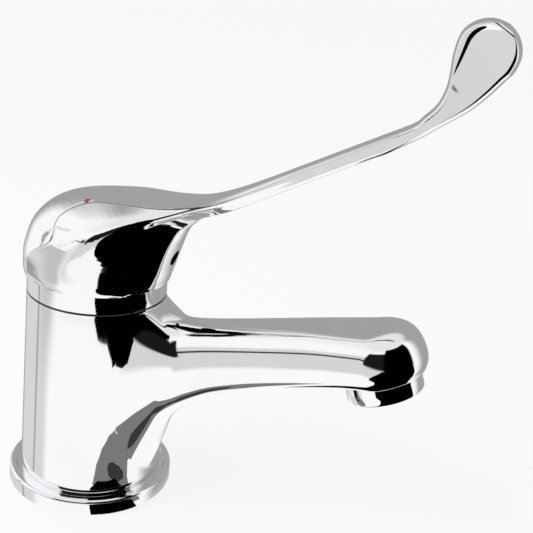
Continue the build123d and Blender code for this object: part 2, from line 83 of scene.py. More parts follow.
# Openings of the column
chamber_floor = 41.0
chamber_radius = 17.65
nut_bore_radius = 19.1
nut_seat = 60.5
# Place, radius and depth
stud_hole = (-12.5, 0.0, 3.4, 20.0)
hose_holes = [(4.8, -6.6, 4.5, 14.0), (4.8, 6.6, 4.5, 14.0)]
hose_passage_radius = 2.4

# Aerator
aerator_reach = 97.1
aerator_height = 56.8
aerator_tilt = 20.2
aerator_radius = 11.6
aerator_bore_radius = 11.7
aerator_bore_depth = 12.6
aerator_thread_height = 11.0
aerator_inner_radius = 9.9
aerator_mouth_radius = 8.9
aerator_edge = 0.4
aerator_edge_middle = 0.12
aerator_mouth_edge = 0.15
aerator_lip = 1.0
aerator_wall_heights = (3.0, 6.0)

# Spout
spout_end_radius = 14.8
spout_end_height = 16.3
spout_end_rise = 5.3
spout_steps = 4
spout_end_steps = 20
spout_end_crease = 0.6
# Cross-sections: top point and bottom point as shares of the aerator's reach and height, half width
# as a share of the end's radius, and place in the list of outlines
spout_station_shares = [
    (0.144, 1.186, 0.170, 0.140, 0.93, 0.0),
    (0.223, 1.195, 0.243, 0.205, 0.87, 0.0),
    (0.243, 1.178, 0.260, 0.325, 0.83, 0.15),
    (0.268, 1.158, 0.278, 0.450, 0.79, 0.40),
    (0.299, 1.146, 0.305, 0.540, 0.75, 0.70),
    (0.340, 1.146, 0.348, 0.612, 0.72, 1.00),
    (0.432, 1.175, 0.443, 0.735, 0.71, 1.15),
    (0.587, 1.235, 0.602, 0.860, 0.75, 1.35),
    (0.735, 1.293, 0.765, 0.967, 0.82, 1.65),
    (0.845, 1.330, 0.890, 1.046, 0.92, 1.88),
]
# Half outlines from the top round to the lower edge: share of the depth, share of the half width
outline_steps = 3
spout_outline_shares = [
    [(0.0, 0.0), (0.008, 0.40), (0.035, 0.72), (0.20, 0.96), (0.50, 1.0), (0.78, 0.80), (0.94, 0.45)],
    [(0.0, 0.0), (0.05, 0.40), (0.15, 0.72), (0.31, 0.94), (0.55, 1.0), (0.80, 0.92), (0.95, 0.62)],
    [(0.0, 0.0), (0.035, 0.40), (0.13, 0.70), (0.32, 0.90), (0.62, 0.985), (0.85, 0.97), (1.0, 0.88)],
]
underside_shares = (0.66, 0.33, 0.0)
# Points within these limits of the spout's end face make its sharper lower edge
end_rim_slack = 0.05
end_rim_share = 0.86
end_rim_depth = 4.0
# Blend of the spout into the column, by place round the outline from top to bottom:
# how far it spreads on the column and how far it runs along the spout
blend_spread = [0.2, 0.6, 1.5, 3.5, 8.0, 9.0, 6.0, 3.0]
blend_run = [1.0, 4.0, 11.0, 15.0, 15.0, 14.0, 9.0, 5.0]
blend_shares = (0.0, 0.17, 0.34, 0.5, 0.66, 0.83, 1.0)
blend_end = 24
blend_steps = 6
blend_above_ring = 0.4
search_steps = 20
search_step = 0.05
# The spout's closed root inside the column, and its first ring just under the column's skin
root_shrinks = (0.3, 0.65, 1.0)
root_depth = 1.5
root_skin = 0.05

# Collar
bonnet_wall = 1.3
bonnet_edge = 74.0
bonnet_top = 76.8
bonnet_middle = 71.0
bonnet_seam_round = 0.25
bonnet_round = 0.3
bonnet_shoulder_radius = 16.0
bonnet_hole_radius = 13.6
bonnet_inner_radius = 15.6
bonnet_inner_edge = 73.3

# Handle
dome_radius = 23.6
lip_height = 74.0
pivot_height = 69.0
cavity_radius = 23.146
cavity_rings = 10
cavity_crease = 0.7
lip_crease = 0.9
boss_radius = 7.5
boss_bottom = 80.5
boss_crease = 0.8
boss_wall_heights = (87.0, 84.0)
boss_floor_radii = (6.5, 3.5)
rib_reach = 22.5
rib_half_width = 4.5
rib_top = 92.0
screw_height = 83.7
screw_hole_radius = 2.45
screw_end = 10.5
screw_hole_end = 34.0
handle_steps = 4
# Cross-sections of the dome, as shares of its radius: top point and low point
handle_line_shares = [
    (-0.983, 0.000, 0.985, 0.000),
    (-0.994, 0.045, 1.000, 0.045),
    (-1.000, 0.150, 1.022, 0.120),
    (-0.985, 0.390, 1.063, 0.240),
    (-0.873, 0.718, 1.112, 0.407),
    (-0.593, 0.973, 1.172, 0.593),
    (-0.170, 1.122, 1.223, 0.733),
    (0.339, 1.183, 1.278, 0.847),
    (0.847, 1.202, 1.370, 0.945),
    (1.314, 1.290, 1.525, 1.068),
    (1.695, 1.419, 1.850, 1.212),
    (2.119, 1.627, 2.243, 1.435),
]
# Their half outlines: share of the depth, half width as a share of the dome's radius
handle_outline_shares = [
    ((0.180, 0.755), (0.500, 0.983), (0.760, 0.840), (0.880, 0.640), (0.975, 0.300)),
    ((0.180, 0.765), (0.500, 0.995), (0.760, 0.850), (0.880, 0.640), (0.975, 0.300)),
    ((0.180, 0.768), (0.500, 1.000), (0.755, 0.845), (0.870, 0.590), (0.975, 0.300)),
    ((0.190, 0.780), (0.500, 0.998), (0.750, 0.838), (0.865, 0.530), (0.975, 0.300)),
    ((0.320, 0.880), (0.560, 1.000), (0.745, 0.810), (0.865, 0.500), (0.975, 0.300)),
    ((0.200, 0.660), (0.520, 0.975), (0.740, 0.740), (0.870, 0.440), (0.972, 0.290)),
    ((0.130, 0.430), (0.500, 0.870), (0.730, 0.620), (0.870, 0.380), (0.970, 0.260)),
    ((0.110, 0.425), (0.460, 0.730), (0.690, 0.520), (0.860, 0.340), (0.970, 0.235)),
    ((0.130, 0.420), (0.420, 0.540), (0.630, 0.410), (0.830, 0.290), (0.965, 0.210)),
    ((0.220, 0.365), (0.400, 0.385), (0.600, 0.330), (0.800, 0.250), (0.950, 0.200)),
    ((0.300, 0.275), (0.450, 0.275), (0.620, 0.245), (0.800, 0.215), (0.940, 0.190)),
    ((0.300, 0.200), (0.450, 0.200), (0.620, 0.190), (0.800, 0.182), (0.940, 0.172)),
]
# How sharp the edge of the top strip is, from the lip's row outwards
strip_crease = [0.0, 0.0, 0.0, 0.0, 0.6, 0.85, 0.85, 0.85, 0.85, 0.8, 0.8, 0.8]
# Depth of the fine groove along that edge
strip_groove = [0.0, 0.0, 0.0, 0.0, 0.2, 0.3, 0.3, 0.3, 0.3, 0.25, 0.1, 0.0]
groove_width = 0.5
groove_least = 0.02
# Groove depth at which its painted shade is full
groove_full_shade = 0.2
# How sharp the upper edge of the scooped flank is
flank_crease = [0.0, 0.0, 0.0, 0.0, 0.3, 0.8, 0.95, 0.95, 0.9, 0.7, 0.2, 0.0]
# Places in a ring: points of the crown, and the flank's edge counted from the strip's edge
crown_points = 7
crown_steps = 4
flank_place = 8
nose_shares = (0.66, 0.33, 0.0, -0.33, -0.66)
arm_crease = 0.75
paddle_crease = 0.35

# Arm and paddle
arm_rise = 29.9
arm_width = 7.4
arm_depth = 5.1
arm_start = (64.0, 120.3)
arm_crown = 1.2
arm_end_reach = 86.5
arm_stops = (0.0, 0.25, 0.5, 0.75, 1.0)
arm_outline_shares = [(0.45, 1.0), (0.65, 0.99), (0.82, 0.98), (0.95, 0.93)]
paddle_reach = 109.8
paddle_height = 158.6
paddle_radius = 8.7
paddle_rise = 60.4
paddle_thickness = 7.2
paddle_round = 1.3
# Cross-sections of the neck, from the paddle's middle, as shares of its radius: top and low point
neck_line_shares = [
    (-1.860, -2.440, -1.515, -2.830),
    (-1.605, -2.174, -1.165, -2.545),
    (-1.243, -1.733, -0.605, -2.116),
    (-1.060, -1.220, -0.128, -1.713),
    (-1.015, -0.720, 0.314, -1.221),
    (-1.005, -0.130, 0.686, -0.733),
]
tip_angles = [0, 25, 45, 62, 75, 84]
rim_side_shares = (0.3, 0.5, 0.7)
rim_crown_share = 0.25
tip_crown = 0.3
# Drop-shaped dish: reach, height and radius of its two ends
dish_ends = [(110.4, 159.6, 6.7), (105.4, 150.6, 4.0)]
dish_steps = 12
dish_wall = 2.0
dish_depth = 0.5
dish_least_out = 0.5
# It is deepest towards this direction (across, up), over this length, from this share in the middle
dish_fade = (-0.95, 0.6, 10.0)
dish_fade_middle = 0.3

# Temperature marks
mark_place = (0.3, 9.3, 99.62)
mark_tilt = 21.5
mark_lean = 9.5
mark_radius = 0.95
mark_depth = 0.4
mark_edge = 0.1
mark_rises = (0.03, 0.06, 0.09)
mark_search = 3.0

tilt = math.radians(aerator_tilt)
aerator_axis = Vector((-math.sin(tilt), 0, math.cos(tilt)))
aerator_place = Matrix.Translation((aerator_reach, 0, aerator_height)) @ Matrix.Rotation(-tilt, 4, "Y")


def polar(radius, angle):
    return radius * math.cos(math.radians(angle)), radius * math.sin(math.radians(angle))


def on_aerator(up):
    """Point of the symmetry plane on the aerator's axis."""
    return aerator_reach - up * math.sin(tilt), aerator_height + up * math.cos(tilt)


def between(rows, steps):
    """Rows with smooth steps put in between them, through every given row."""
    out = []
    for k in range(len(rows) - 1):
        before, here = rows[max(k - 1, 0)], rows[k]
        there, after = rows[k + 1], rows[min(k + 2, len(rows) - 1)]
        for n in range(steps):
            s = n / steps
            out.append(tuple(
                0.5 * (2 * p + (q - o) * s + (2 * o - 5 * p + 4 * q - r) * s ** 2
                       + (3 * p - o - 3 * q + r) * s ** 3)
                for o, p, q, r in zip(before, here, there, after)))
    out.append(tuple(rows[-1]))
    return out


# Meshes grown ring by ring
def start_ring(bm, points):
    """Closed ring of edges through the points."""
    verts = [bm.verts.new(p) for p in points]
    for a, b in zip(verts, verts[1:] + verts[:1]):
        bm.edges.new((a, b))
    return verts


def ring_edges(bm, verts):
    return [bm.edges.get((a, b)) for a, b in zip(verts, verts[1:] + verts[:1])]


def grow(bm, verts, points):
    """Walls from a ring to the next ring."""
    made = bmesh.ops.extrude_edge_only(bm, edges=ring_edges(bm, verts))["geom"]
    moved = {g for g in made if isinstance(g, bmesh.types.BMVert)}
    ring = [next(e.other_vert(v) for e in v.link_edges if e.other_vert(v) in moved) for v in verts]
    for v, p in zip(ring, points):
        v.co = p
    return ring


def close_ring(bm, verts, point):
    """Walls from a ring to one point."""
    ring = grow(bm, verts, [point] * len(verts))
    bmesh.ops.pointmerge(bm, verts=ring, merge_co=point)


def creasable():
    """Mesh in which edges can be made sharp and points can carry painted shade."""
    bm = bmesh.new()
    bm.edges.layers.float.new("crease_edge")
    bm.verts.layers.float.new("seam_shade")
    return bm


def paint_shade(bm, verts, value):
    """Sets the painted shade of points that lie in a fine groove, for the finish."""
    layer = bm.verts.layers.float["seam_shade"]
    for v in verts:
        v[layer] = value


def crease_edges(bm, edges, value):
    layer = bm.edges.layers.float["crease_edge"]
    for e in edges:
        e[layer] = max(e[layer], value)


def new_object(name, bm, scale=MM):
    """Object at the origin from a bmesh in millimetres."""
    bmesh.ops.recalc_face_normals(bm, faces=bm.faces)
    bmesh.ops.scale(bm, vec=(scale,) * 3, verts=bm.verts)
    mesh = bpy.data.meshes.new(name)
    bm.to_mesh(mesh)
    bm.free()
    obj = bpy.data.objects.new(name, mesh)
    bpy.context.scene.collection.objects.link(obj)
    return obj


def settle(obj):
    """Puts the result of the modifiers into the mesh."""
    graph = bpy.context.evaluated_depsgraph_get()
    mesh = bpy.data.meshes.new_from_object(obj.evaluated_get(graph))
    obj.modifiers.clear()
    obj.data = mesh


def soften(obj, levels):
    mod = obj.modifiers.new("soften", "SUBSURF")
    mod.levels = mod.render_levels = levels
    settle(obj)


def combine(obj, other, operation):
    """Joins another closed shape to a piece, or cuts it out, and removes the other shape."""
    mod = obj.modifiers.new("combine", "BOOLEAN")
    mod.operation = operation
    mod.solver = "EXACT"
    mod.object = other
    settle(obj)
    bpy.data.objects.remove(other)


def paint_seam_shade(obj, radius, low, high):
    """Gives painted shade to a piece's points at the column's top edge under the collar, for the finish."""
    layer = obj.data.attributes.get("seam_shade") or obj.data.attributes.new("seam_shade", "FLOAT", "POINT")
    for v, mark in zip(obj.data.vertices, layer.data):
        x, y, z = v.co / MM
        if low < z < high and math.hypot(x, y) < radius:
            mark.value = 1.0


def smooth(obj, angle=30):
    obj.data.shade_smooth()
    obj.data.set_sharp_from_angle(angle=math.radians(angle))


def lathe(bm, profile, place=Matrix(), steps=round_steps):
    """Closed shape of revolution about Z from (radius, height) points."""
    verts = [bm.verts.new((r, 0, z)) for r, z in profile]
    edges = [bm.edges.new((a, b)) for a, b in zip(verts, verts[1:] + verts[:1])]
    edges = [e for e in edges if max(v.co.x for v in e.verts) > 0]
    before = set(bm.verts) - set(verts)
    bmesh.ops.spin(bm, geom=verts + edges, cent=(0, 0, 0), axis=(0, 0, 1), angle=math.tau,
                   steps=steps, use_merge=True)
    made = [v for v in bm.verts if v not in before]
    bmesh.ops.remove_doubles(bm, verts=made, dist=1e-4)
    bmesh.ops.delete(bm, geom=[e for e in bm.edges if not e.link_faces], context="EDGES")
    made = [v for v in bm.verts if v not in before]
    bmesh.ops.transform(bm, matrix=place, verts=made)


def bar(name, radius, low, high, place=Matrix(), steps=bore_steps):
    bm = bmesh.new()
    lathe(bm, [(0, low), (radius, low), (radius, high), (0, high)], place, steps)
    return new_object(name, bm)


# Spout
def arc_floor(last, share):
    """Point of the underside's arc, from one lower edge at share 1 to the other at share -1."""
    down, out = last
    return 1 - (1 - down) * share ** 2, out * share


def spout_half(top, bottom, half_width, place):
    """Half of one cross-section, from the top point to the middle of the underside."""
    step = min(int(place), len(spout_outline_shares) - 2)
    blend = place - step
    outline = [tuple(a + (b - a) * blend for a, b in zip(here, there))
               for here, there in zip(spout_outline_shares[step], spout_outline_shares[step + 1])]
    outline = between(outline, outline_steps)
    last = outline[-1]
    outline += [arc_floor(last, share) for share in underside_shares]
    return [Vector((top[0] + (bottom[0] - top[0]) * down, out * half_width,
                    top[1] + (bottom[1] - top[1]) * down)) for down, out in outline]


def spout_sections():
    rows = [(a * aerator_reach, b * aerator_height, c * aerator_reach, d * aerator_height,
             half * spout_end_radius, place) for a, b, c, d, half, place in spout_station_shares]
    rows.append((*on_aerator(spout_end_rise + spout_end_height), *on_aerator(spout_end_rise),
                 spout_end_radius, len(spout_outline_shares) - 1))
    return [spout_half(r[0:2], r[2:4], r[4], r[5]) for r in between(rows, spout_steps)]


def column_radius(z):
    share = min(max((z - ring_ledge) / (column_top - ring_ledge), 0), 1)
    return column_foot_radius + (column_top_radius - column_foot_radius) * share


def along(sections, k, i):
    """Point i of the outline at a place k between sections."""
    step = min(int(k), len(sections) - 2)
    return sections[step][i].lerp(sections[step + 1][i], k - step)


def leaves_column(sections, i):
    """Place between sections at which line i of the spout comes out of the column."""
    for k in range(len(sections) - 1):
        for n in range(search_steps):
            place = k + n / search_steps
            p = along(sections, place, i)
            if math.hypot(p.x, p.y) > column_radius(p.z):
                return place
    return 0


def run_on(sections, k, i, length):
    """Place reached by going on along line i for a length."""
    at = along(sections, k, i)
    while length > 0:
        k += search_step
        there = along(sections, k, i)
        length -= (there - at).length
        at = there
    return k


def whole(half):
    """Ring from one half: down one side and up the other."""
    other = [Vector((p.x, -p.y, p.z)) for p in half[1:-1]]
    return half + other[::-1]


def on_column(angle, z, depth=0.0):
    radius = column_radius(z) - depth
    return Vector((radius * math.cos(angle), radius * math.sin(angle), z))


def blend_at(values, share):
    """Value of a short list at a share of its length."""
    k = share * (len(values) - 1)
    step = min(int(k), len(values) - 2)
    return values[step] + (values[step + 1] - values[step]) * (k - step)


def blend_feet(flat):
    """Foot of each line of the blend on the column, as angle and height."""
    feet = []
    last = len(flat) - 1
    for i, point in enumerate(flat):
        before = flat[i - 1] if i else Vector((-flat[1].x, flat[1].y))
        after = flat[i + 1] if i < last else Vector((-flat[-2].x, flat[-2].y))
        line = (after - before).normalized()
        foot = point + Vector((-line.y, line.x)) * blend_at(blend_spread, i / last)
        foot.y = min(max(foot.y, ring_height + blend_above_ring), column_top - 2 * column_chamfer)
        feet.append((foot.x / column_radius(foot.y), foot.y))
    return feet


def spout_rings():
    """Half rings from inside the column, over the blend, to the spout's end, and the root's height."""
    sections = spout_sections()
    count = len(sections[0])
    leave = [leaves_column(sections, i) for i in range(count)]
    out = [along(sections, k, i) for i, k in enumerate(leave)]
    feet = blend_feet([Vector((math.atan2(p.y, p.x) * column_radius(p.z), p.z)) for p in out])
    runs = [run_on(sections, k, i, blend_at(blend_run, i / (count - 1))) for i, k in enumerate(leave)]
    ends = [along(sections, k, i) for i, k in enumerate(runs)]
    middle = sum(z for a, z in feet) / count
    rings = [[on_column(a * shrink, middle + (z - middle) * shrink, root_depth) for a, z in feet]
             for shrink in root_shrinks]
    starts = [on_column(a, z, root_skin) for a, z in feet]
    for s in blend_shares:
        rings.append([a * (1 - s) ** 2 + b * 2 * s * (1 - s) + c * s ** 2
                      for a, b, c in zip(starts, out, ends)])
    for n in range(1, blend_steps + 1):
        rings.append([along(sections, k + (blend_end - k) * n / blend_steps, i) for i, k in enumerate(runs)])
    return rings + sections[blend_end + 1:], middle


def round_front(bm, half):
    """Rounded front of the spout: its last half ring turned about the aerator's axis."""
    edges = [bm.edges.get((a, b)) for a, b in zip(half, half[1:])]
    bmesh.ops.spin(bm, geom=half + edges, cent=(aerator_reach, 0, aerator_height), axis=aerator_axis,
                   angle=-math.pi, steps=spout_end_steps, use_merge=False)
    bmesh.ops.remove_doubles(bm, verts=bm.verts, dist=0.01)


def end_rim(bm):
    """Edges round the spout's lower end."""
    centre = Vector((*on_aerator(spout_end_rise), 0)).xzy

    def on_rim(v):
        out = v.co - centre
        return (abs(out.dot(aerator_axis)) < end_rim_slack and out.length > spout_end_radius * end_rim_share
                and v.co.x > centre.x - end_rim_depth)

    return [e for e in bm.edges if all(on_rim(v) for v in e.verts)]


def spout():
    rings, middle = spout_rings()
    bm = creasable()
    verts = first = start_ring(bm, whole(rings[0]))
    for half in rings[1:]:
        verts = grow(bm, verts, whole(half))
    round_front(bm, verts[:len(rings[-1])])
    close_ring(bm, first, on_column(0, middle, root_depth))
    bmesh.ops.recalc_face_normals(bm, faces=bm.faces)
    crease_edges(bm, end_rim(bm), spout_end_crease)
    return new_object("spout", bm)


# Body
def body_casting():
    bm = bmesh.new()
    foot = ring_bore_radius - ring_play
    heights = [ring_ledge + column_wall_step * n for n in range(column_wall_rings)]
    edge = column_top - column_chamfer
    lathe(bm, [(0, 0), (foot, 0), (foot, ring_ledge), *[(column_radius(z), z) for z in heights],
               (column_top_radius, edge - seam_height), (column_top_radius, edge),
               (column_top_radius - column_chamfer, column_top), (nut_bore_radius, column_top),
               (nut_bore_radius, nut_seat), (chamber_radius, nut_seat), (chamber_radius, chamber_floor),
               (0, chamber_floor)])
    body = new_object("body_casting_chrome", bm)
    arm = spout()
    soften(arm, 2)
    combine(body, arm, "UNION")
    for x, y, radius, depth in (stud_hole, *hose_holes):
        place = Matrix.Translation((x, y, 0))
        combine(body, bar("hole", radius, -overrun, depth, place), "DIFFERENCE")
        if (x, y, radius, depth) in hose_holes:
            combine(body, bar("hose_passage", hose_passage_radius, depth - overrun, chamber_floor + overrun,
                              place, passage_steps), "DIFFERENCE")
    combine(body, bar("aerator_bore", aerator_bore_radius, -overrun, aerator_bore_depth, aerator_place,
                      round_steps), "DIFFERENCE")
    smooth(body)
    # Painted shade on the column's top edge, where it meets the collar
    paint_seam_shade(body, column_top_radius + seam_reach, edge - seam_slack, column_top + seam_slack)
    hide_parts("body_casting")
    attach(body, "tap_body")
    return body


def base_ring():
    bm = bmesh.new()
    corner = [(ring_radius - ring_round + x, ring_height - ring_round + z)
              for x, z in [polar(ring_round, a) for a in range(0, 91, 15)]]
    inner, outer, depth = seal_groove
    lathe(bm, [(ring_bore_radius, 0), (inner, 0), (inner, depth), (outer, depth), (outer, 0),
               (ring_radius - ring_edge, 0), (ring_radius, ring_edge), *corner,
               (ring_rim_radius + ring_edge, ring_height), (ring_rim_radius, ring_height - ring_edge),
               (ring_rim_radius, ring_ledge), (ring_bore_radius, ring_ledge)])
    ring = new_object("base_ring_chrome", bm)
    smooth(ring)
    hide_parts("base_ring")
    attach(ring, "tap_body")
    return ring


def cover_bonnet():
    bm = bmesh.new()
    inner = column_top_radius - bonnet_wall
    lathe(bm, [(inner, column_top), (column_top_radius - bonnet_seam_round, column_top),
               (column_top_radius, column_top + bonnet_seam_round), (column_top_radius, bonnet_middle),
               (column_top_radius, bonnet_edge - bonnet_round),
               (column_top_radius - bonnet_round, bonnet_edge), (bonnet_shoulder_radius, bonnet_top),
               (bonnet_hole_radius, bonnet_top), (bonnet_hole_radius, bonnet_top - bonnet_wall),
               (bonnet_inner_radius, bonnet_top - bonnet_wall), (inner, bonnet_inner_edge)])
    bonnet = new_object("cover_bonnet_chrome", bm)
    smooth(bonnet)
    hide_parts("cover_bonnet")
    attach(bonnet, "tap_body")
    return bonnet


def aerator_ring():
    bm = bmesh.new()
    lathe(bm, [(aerator_mouth_radius, aerator_mouth_edge), (aerator_mouth_radius + aerator_mouth_edge, 0),
               (aerator_radius - aerator_edge, 0),
               (aerator_radius - aerator_edge_middle, aerator_edge_middle), (aerator_radius, aerator_edge),
               *[(aerator_radius, z) for z in aerator_wall_heights],
               (aerator_radius, aerator_thread_height), (aerator_inner_radius, aerator_thread_height),
               (aerator_inner_radius, aerator_lip), (aerator_mouth_radius, aerator_lip)],
          aerator_place)
    ring = new_object("aerator_ring_chrome", bm)
    smooth(ring)
    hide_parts("aerator_ring")
    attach(ring, "tap_body")
    return ring


# Handle
def crown_arc(share, half, length):
    """Arc over the top strip from one edge to the other, as shares of the depth and half widths."""
    drop = share * length
    radius = (drop ** 2 + half ** 2) / (2 * drop)
    reach = math.asin(min(half / radius, 1))
    if drop >= radius:
        reach = math.pi - reach
    angles = [reach * (1 - n / crown_steps) for n in range(1, crown_points + 1)]
    return [((radius - radius * math.cos(a)) / length, radius * math.sin(a)) for a in angles]


def grooved(side, length, groove):
    """Side with the fine groove cut between it and the top strip."""
    line = Vector(((side[1][0] - side[0][0]) * length, side[1][1] - side[0][1])).normalized()
    edge = Vector((side[0][0] * length, side[0][1]))
    inward = Vector((line.y, -line.x)) if line.x > 0 else Vector((-line.y, line.x))
    bottom = edge + line * groove_width / 2 + inward * groove
    far = edge + line * groove_width
    return [side[0], (bottom.x / length, bottom.y), (far.x / length, far.y), *side[1:]]


def cross_ring(row, groove, ridge):
    """Points round one cross-section of the handle, from the strip's edge over the crown and round."""
    top, low = Vector((row[0], 0, row[1])), Vector((row[2], 0, row[3]))
    length = (low - top).length
    points = [(row[k], row[k + 1]) for k in range(4, len(row), 2)]
    side = between(points, outline_steps)
    apart = between(points[:3], outline_steps)[:-1] + between(points[2:], outline_steps)
    side = [(s + (t - s) * ridge, y + (w - y) * ridge) for (s, y), (t, w) in zip(side, apart)]
    crown = crown_arc(*side[0], length)
    side = grooved(side, length, groove)
    nose = [arc_floor(side[-1], share) for share in nose_shares]
    outline = crown + [(s, -y) for s, y in side] + [(s, -y) for s, y in nose] + side[::-1]
    return [top + (low - top) * s + Vector((0, y, 0)) for s, y in outline]


def dome_rows():
    rows = []
    for line, outline in zip(handle_line_shares, handle_outline_shares):
        row = [line[0] * dome_radius, lip_height + line[1] * dome_radius,
               line[2] * dome_radius, lip_height + line[3] * dome_radius]
        for s, half in outline:
            row += [s, half * dome_radius]
        rows.append(tuple(row))
    return rows


def arm_rows():
    ahead, up = polar(1, arm_rise)
    half = arm_width / 2
    rows = []
    for share in arm_stops:
        reach = arm_start[0] + (arm_end_reach - arm_start[0]) * share
        top = (reach, arm_start[1] + (reach - arm_start[0]) * up / ahead)
        row = [*top, top[0] + arm_depth * up, top[1] - arm_depth * ahead, arm_crown / arm_depth, half]
        for s, w in arm_outline_shares:
            row += [s, half * w]
        rows.append(tuple(row))
    return rows


def rim_row(top, low, width):
    depth = math.dist(top, low)
    crown = min(paddle_round / depth, rim_crown_share)
    row = [*top, *low, crown, width / 2]
    for s in (*rim_side_shares, 1 - crown):
        row += [s, width / 2]
    return tuple(row)


def paddle_rows():
    rows = []
    for a, b, c, d in neck_line_shares:
        rows.append(rim_row((paddle_reach + a * paddle_radius, paddle_height + b * paddle_radius),
                            (paddle_reach + c * paddle_radius, paddle_height + d * paddle_radius),
                            paddle_thickness))
    ahead_x, ahead_z = polar(1, paddle_rise)
    for angle in tip_angles:
        half, ahead = polar(paddle_radius, angle)
        x, z = paddle_reach + ahead * ahead_x, paddle_height + ahead * ahead_z
        edge = min((paddle_radius - ahead) / paddle_round, 1)
        fade = math.sqrt(1 - (1 - edge) ** 2)
        rows.append(rim_row((x - half * ahead_z, z + half * ahead_x),
                            (x + half * ahead_z, z - half * ahead_x), paddle_thickness * fade))
    return rows


def dished(point):
    """Presses the paddle's faces in by the two shallow drop-shaped hollows."""
    inside = 0
    for n in range(dish_steps + 1):
        x, z, radius = (a + (b - a) * n / dish_steps for a, b in zip(*dish_ends))
        inside = max(inside, radius - math.hypot(point.x - x, point.z - z))
    if inside > 0 and abs(point.y) > dish_least_out:
        s = min(inside / dish_wall, 1)
        across, up, run = dish_fade
        fade = ((point.x - paddle_reach) * across + (point.z - paddle_height) * up) / run
        fade = min(max(dish_fade_middle + fade, 0), 1)
        floor = paddle_thickness / 2 - dish_depth * s * s * (3 - 2 * s) * fade
        point.y = math.copysign(min(abs(point.y), floor), point.y)
    return point


def casting_rows():
    """Rows of the whole lever. Their last values are groove depth, flank edge and strip edge."""
    rows = dome_rows() + arm_rows() + paddle_rows()
    creases = strip_crease + [arm_crease] * len(arm_stops)
    creases += [paddle_crease] * (len(rows) - len(creases))
    grooves = strip_groove + [0.0] * (len(rows) - len(strip_groove))
    flanks = flank_crease + [0.0] * (len(rows) - len(flank_crease))
    return between([(*row, *more) for row, more in zip(rows, zip(grooves, flanks, creases))], handle_steps)


def outer_skin(bm):
    """Outside of the lever from the dome's lip to the paddle's tip. Gives back the lip's ring."""
    rows = casting_rows()
    rings = [cross_ring(row[:-3], max(row[-3], 0), min(max(row[-2], 0), 1)) for row in rows]
    lip = verts = start_ring(bm, rings[0])
    crease_edges(bm, ring_edges(bm, verts), lip_crease)
    last = len(lip) - 1
    for (*_, groove, flank, crease), ring in zip(rows[1:], rings[1:]):
        nxt = grow(bm, verts, ring)
        sharp = [(0, crease), (flank_place, flank)]
        if groove > groove_least:
            sharp += [(1, crease), (2, crease)]
        for k, value in sharp:
            for i in (crown_points + k, last - k):
                crease_edges(bm, [bm.edges.get((verts[i], nxt[i]))], max(value, 0))
        paint_shade(bm, nxt, 0.0)
        # Painted shade at the bottom of the fine groove, darker the deeper it is
        paint_shade(bm, (nxt[crown_points + 1], nxt[last - 1]), min(max(groove, 0) / groove_full_shade, 1))
        verts = nxt
    paint_shade(bm, verts, 0.0)
    middle = sum((v.co for v in verts), Vector()) / len(verts)
    close_ring(bm, verts, middle + Vector((*polar(tip_crown, paddle_rise), 0)).xzy)
    return lip


def inner_skin(bm, lip):
    """Inside of the dome, from the lip down to the foot of the boss that takes the stem."""
    azimuths = [math.atan2(v.co.y, v.co.x) for v in lip]

    def circle(radius, z):
        return [Vector((radius * math.cos(a), radius * math.sin(a), z)) for a in azimuths]

    start = math.asin((lip_height - pivot_height) / cavity_radius)
    end = math.acos(boss_radius / cavity_radius)
    verts = lip
    for n in range(cavity_rings):
        out, up = polar(cavity_radius, math.degrees(start + (end - start) * n / (cavity_rings - 1)))
        verts = grow(bm, verts, circle(out, pivot_height + up))
        if n == 0:
            crease_edges(bm, ring_edges(bm, verts), lip_crease)
    crease_edges(bm, ring_edges(bm, verts), cavity_crease)
    for z in (*boss_wall_heights, boss_bottom):
        verts = grow(bm, verts, circle(boss_radius, z))
    crease_edges(bm, ring_edges(bm, verts), boss_crease)
    for radius in boss_floor_radii:
        verts = grow(bm, verts, circle(radius, boss_bottom))
    close_ring(bm, verts, Vector((0, 0, boss_bottom)))


def add_screw_hole(handle):
    """Rib behind the nose, and the set screw's hole through it."""
    bm = bmesh.new()
    middle = (rib_reach / 2, 0, (boss_bottom + rib_top) / 2)
    size = (rib_reach, 2 * rib_half_width, rib_top - boss_bottom, 1)
    bmesh.ops.create_cube(bm, size=1, matrix=Matrix.Translation(middle) @ Matrix.Diagonal(size))
    combine(handle, new_object("screw_rib", bm), "UNION")
    turn = Matrix.Translation((0, 0, screw_height)) @ Matrix.Rotation(math.pi / 2, 4, "Y")
    combine(handle, bar("screw_hole", screw_hole_radius, screw_end, screw_hole_end, turn, small_steps),
            "DIFFERENCE")


def lever_casting():
    bm = creasable()
    inner_skin(bm, outer_skin(bm))
    handle = new_object("lever_casting_chrome", bm)
    soften(handle, 2)
    for v in handle.data.vertices:
        v.co = dished(v.co / MM) * MM
    add_screw_hole(handle)
    smooth(handle, 35)
    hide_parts("lever_handle")
    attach(handle, "lever")
    return handle


def temperature_mark(handle, side, name, node):
    """Round enamel mark set in the dome's surface."""
    out, up = polar(1, 90 - mark_tilt)
    ahead, rise = polar(1, 90 + mark_lean)
    normal = Vector((ahead, side * out * rise, up * rise)).normalized()
    tree = BVHTree.FromObject(handle, bpy.context.evaluated_depsgraph_get())
    start = Vector((mark_place[0], side * mark_place[1], mark_place[2])) + normal * mark_search
    spot = tree.ray_cast(start * MM, -normal)
    place = Matrix.Translation(spot[0] / MM) @ spot[1].to_track_quat("Z", "Y").to_matrix().to_4x4()
    bm = bmesh.new()
    low, edge, top = mark_rises
    lathe(bm, [(0, -mark_depth), (mark_radius, -mark_depth), (mark_radius, low),
               (mark_radius - mark_edge, edge), (0, top)], place, small_steps)
    mark = new_object(name, bm)
    smooth(mark)
    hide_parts(node)
    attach(mark, "lever")
    return mark


# Finishes
cloud_detail = 3
cloud_spread = (0.35, 0.65)
roughness_scale = 1.7
grain_detail = 2
grain_height = 0.0002
# Near-black colour of the painted shade in fine gaps and grooves
painted_shade_colour = (0.05, 0.05, 0.055)


